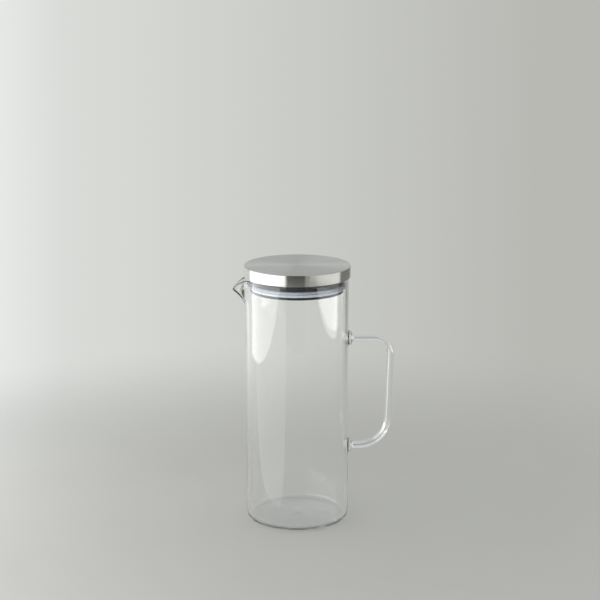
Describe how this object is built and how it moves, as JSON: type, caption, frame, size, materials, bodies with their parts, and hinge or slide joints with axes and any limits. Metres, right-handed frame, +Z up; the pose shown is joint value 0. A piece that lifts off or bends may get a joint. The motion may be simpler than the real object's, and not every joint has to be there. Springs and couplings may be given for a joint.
{
  "type": "glass jug",
  "caption": "Tall straight glass jug with a pouring beak, a bent glass rod handle and a flat steel lid sealed by a silicone ring.",
  "frame": {"origin": "centre of the base, on the plane the jug stands on", "axes": "+Z up along the jug's axis, the beak points along -X and the handle along +X"},
  "size_m": [0.1608, 0.105, 0.259],
  "materials": {
    "clear_glass": "clear polished borosilicate glass",
    "brushed_steel": "circular brushed top, satin skirt",
    "black_plastic": "moulded satin black",
    "silicone": "translucent pale blue-grey silicone"
  },
  "bodies": {
    "jug": {"vessel": "clear_glass", "handle_rod": "clear_glass", "upper_handle_foot": "clear_glass", "lower_handle_foot": "clear_glass"},
    "seal": {"seal_ring": "silicone"},
    "lid": {"lid_cap": "brushed_steel", "lid_plug": "black_plastic"}
  },
  "joints": [
    {"name": "lid_lift", "type": "slide", "parent": "jug", "child": "seal", "axis": [0, 0, 1], "range_m": [0, 0.08]},
    {"name": "lid_turn", "type": "hinge", "parent": "seal", "child": "lid", "pos_m": [0, 0, 0.24], "axis": [0, 0, 1], "continuous": true}
  ]
}
